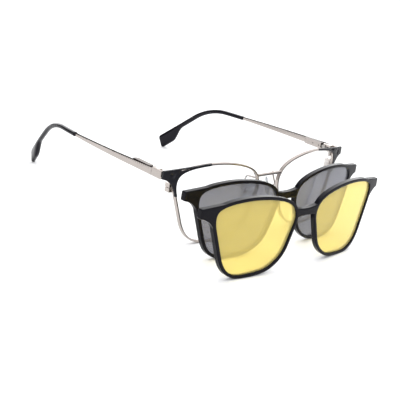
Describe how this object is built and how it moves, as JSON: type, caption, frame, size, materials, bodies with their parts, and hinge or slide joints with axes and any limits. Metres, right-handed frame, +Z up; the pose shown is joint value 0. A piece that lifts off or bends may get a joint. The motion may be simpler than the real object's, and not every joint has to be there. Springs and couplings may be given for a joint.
{
  "type": "cat eye clip-on eyeglasses",
  "caption": "Cat eye eyeglasses with thin metal eyewires, black winged corners, folding spring temples and magnetic clip-on frames with grey and yellow lenses.",
  "frame": {"origin": "middle of the flat front face of the bridge bar; the object stands on a floor 35.6 mm below it", "axes": "+X towards the wearer's left, +Y back along the temples, +Z up"},
  "size_m": [0.1555, 0.2029, 0.0454],
  "materials": {
    "frame_metal": "polished pale warm metal",
    "black_trim": "satin black lacquer",
    "black_frame": "satin black moulded plastic",
    "black_tip": "polished black acetate",
    "clear_lens": "clear coated lens",
    "grey_lens": "grey tinted polarised lens",
    "yellow_lens": "yellow tinted night driving lens",
    "pad_silicone": "clear soft silicone",
    "magnet_metal": "nickel plated",
    "screw_steel": "polished steel"
  },
  "bodies": {
    "front": {"rim_right": "frame_metal", "rim_left": "frame_metal", "lens_right": "clear_lens", "lens_left": "clear_lens", "bridge": "frame_metal", "corner_trim_right": "black_trim", "corner_trim_left": "black_trim", "frame_magnet_right": "magnet_metal", "frame_magnet_left": "magnet_metal", "closing_block_right": "frame_metal", "closing_block_left": "frame_metal", "closing_screw_right": "screw_steel", "closing_screw_left": "screw_steel", "end_piece_right": "frame_metal", "end_piece_left": "frame_metal", "hinge_leaf_right": "frame_metal", "hinge_leaf_left": "frame_metal", "hinge_screw_right": "screw_steel", "hinge_screw_left": "screw_steel", "pad_arm_right": "frame_metal", "pad_arm_left": "frame_metal", "pad_screw_right": "screw_steel", "pad_screw_left": "screw_steel"},
    "hinge_left": {"plunger_left": "screw_steel"},
    "temple_left": {"temple_left": "frame_metal", "temple_tip_left": "black_tip", "spring_box_left": "frame_metal", "bushing_left": "screw_steel", "bushing_screw_left": "screw_steel", "spring_left": "screw_steel"},
    "pad_left": {"nose_pad_left": "pad_silicone"},
    "hinge_right": {"plunger_right": "screw_steel"},
    "temple_right": {"temple_right": "frame_metal", "temple_tip_right": "black_tip", "spring_box_right": "frame_metal", "bushing_right": "screw_steel", "bushing_screw_right": "screw_steel", "spring_right": "screw_steel"},
    "pad_right": {"nose_pad_right": "pad_silicone"},
    "grey_clip": {"grey_clip_frame": "black_frame", "grey_clip_lens_right": "grey_lens", "grey_clip_lens_left": "grey_lens", "grey_clip_magnet_right": "magnet_metal", "grey_clip_magnet_left": "magnet_metal"},
    "yellow_clip": {"yellow_clip_frame": "black_frame", "yellow_clip_lens_right": "yellow_lens", "yellow_clip_lens_left": "yellow_lens", "yellow_clip_magnet_right": "magnet_metal", "yellow_clip_magnet_left": "magnet_metal"}
  },
  "joints": [
    {"name": "left_fold", "type": "hinge", "parent": "front", "child": "hinge_left", "pos_m": [0.06815, 0.01887, 0.00378], "axis": [0, 0, 1], "range_deg": [0, 88]},
    {"name": "left_spring", "type": "slide", "parent": "hinge_left", "child": "temple_left", "axis": [0, 1, 0], "range_m": [0, 0.0012], "stiffness_N_per_m": 2000, "springref_m": -0.001, "deforming": ["spring_left"]},
    {"name": "right_fold", "type": "hinge", "parent": "front", "child": "hinge_right", "pos_m": [-0.06815, 0.01887, 0.00378], "axis": [0, 0, -1], "range_deg": [0, 84]},
    {"name": "right_spring", "type": "slide", "parent": "hinge_right", "child": "temple_right", "axis": [0, 1, 0], "range_m": [0, 0.0012], "stiffness_N_per_m": 2000, "springref_m": -0.001, "deforming": ["spring_right"]},
    {"name": "left_pad_rock", "type": "hinge", "parent": "front", "child": "pad_left", "pos_m": [0.0102, 0.0074, -0.0111], "axis": [0.5299, 0.848, 0], "range_deg": [-8, 8]},
    {"name": "right_pad_rock", "type": "hinge", "parent": "front", "child": "pad_right", "pos_m": [-0.0102, 0.0074, -0.0111], "axis": [-0.5299, 0.848, 0], "range_deg": [-8, 8]},
    {"name": "grey_clip_on", "type": "slide", "parent": "front", "child": "grey_clip", "axis": [0.3718, 0.9111, 0.178], "range_m": [0, 0.0191]},
    {"name": "yellow_clip_on", "type": "slide", "parent": "grey_clip", "child": "yellow_clip", "axis": [0.4265, 0.9045, 0], "range_m": [0, 0.02134]}
  ]
}
